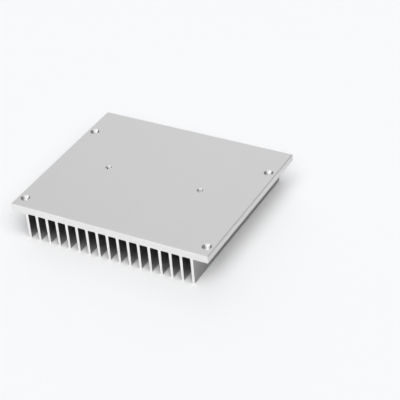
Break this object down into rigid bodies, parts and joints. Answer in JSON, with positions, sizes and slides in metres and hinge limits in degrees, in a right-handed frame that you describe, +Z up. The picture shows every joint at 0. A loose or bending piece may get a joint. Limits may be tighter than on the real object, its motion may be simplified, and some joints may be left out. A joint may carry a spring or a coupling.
{
  "type": "extruded heat sink",
  "caption": "Flat mounting plate with straight tapered cooling fins on its underside, countersunk corner screw holes and a pair of inner screw holes.",
  "frame": {"origin": "on the plane of the fin tips, under the middle of the plate", "axes": "+X across the fins, +Y along the extrusion towards the end with the wider hole setback, +Z up from the fin tips to the plate's face"},
  "size_m": [0.15, 0.125, 0.025],
  "materials": {
    "aluminium": "satin, as extruded, with bright sawn ends"
  },
  "bodies": {
    "root": {"heat_sink": "aluminium"}
  },
  "joints": []
}
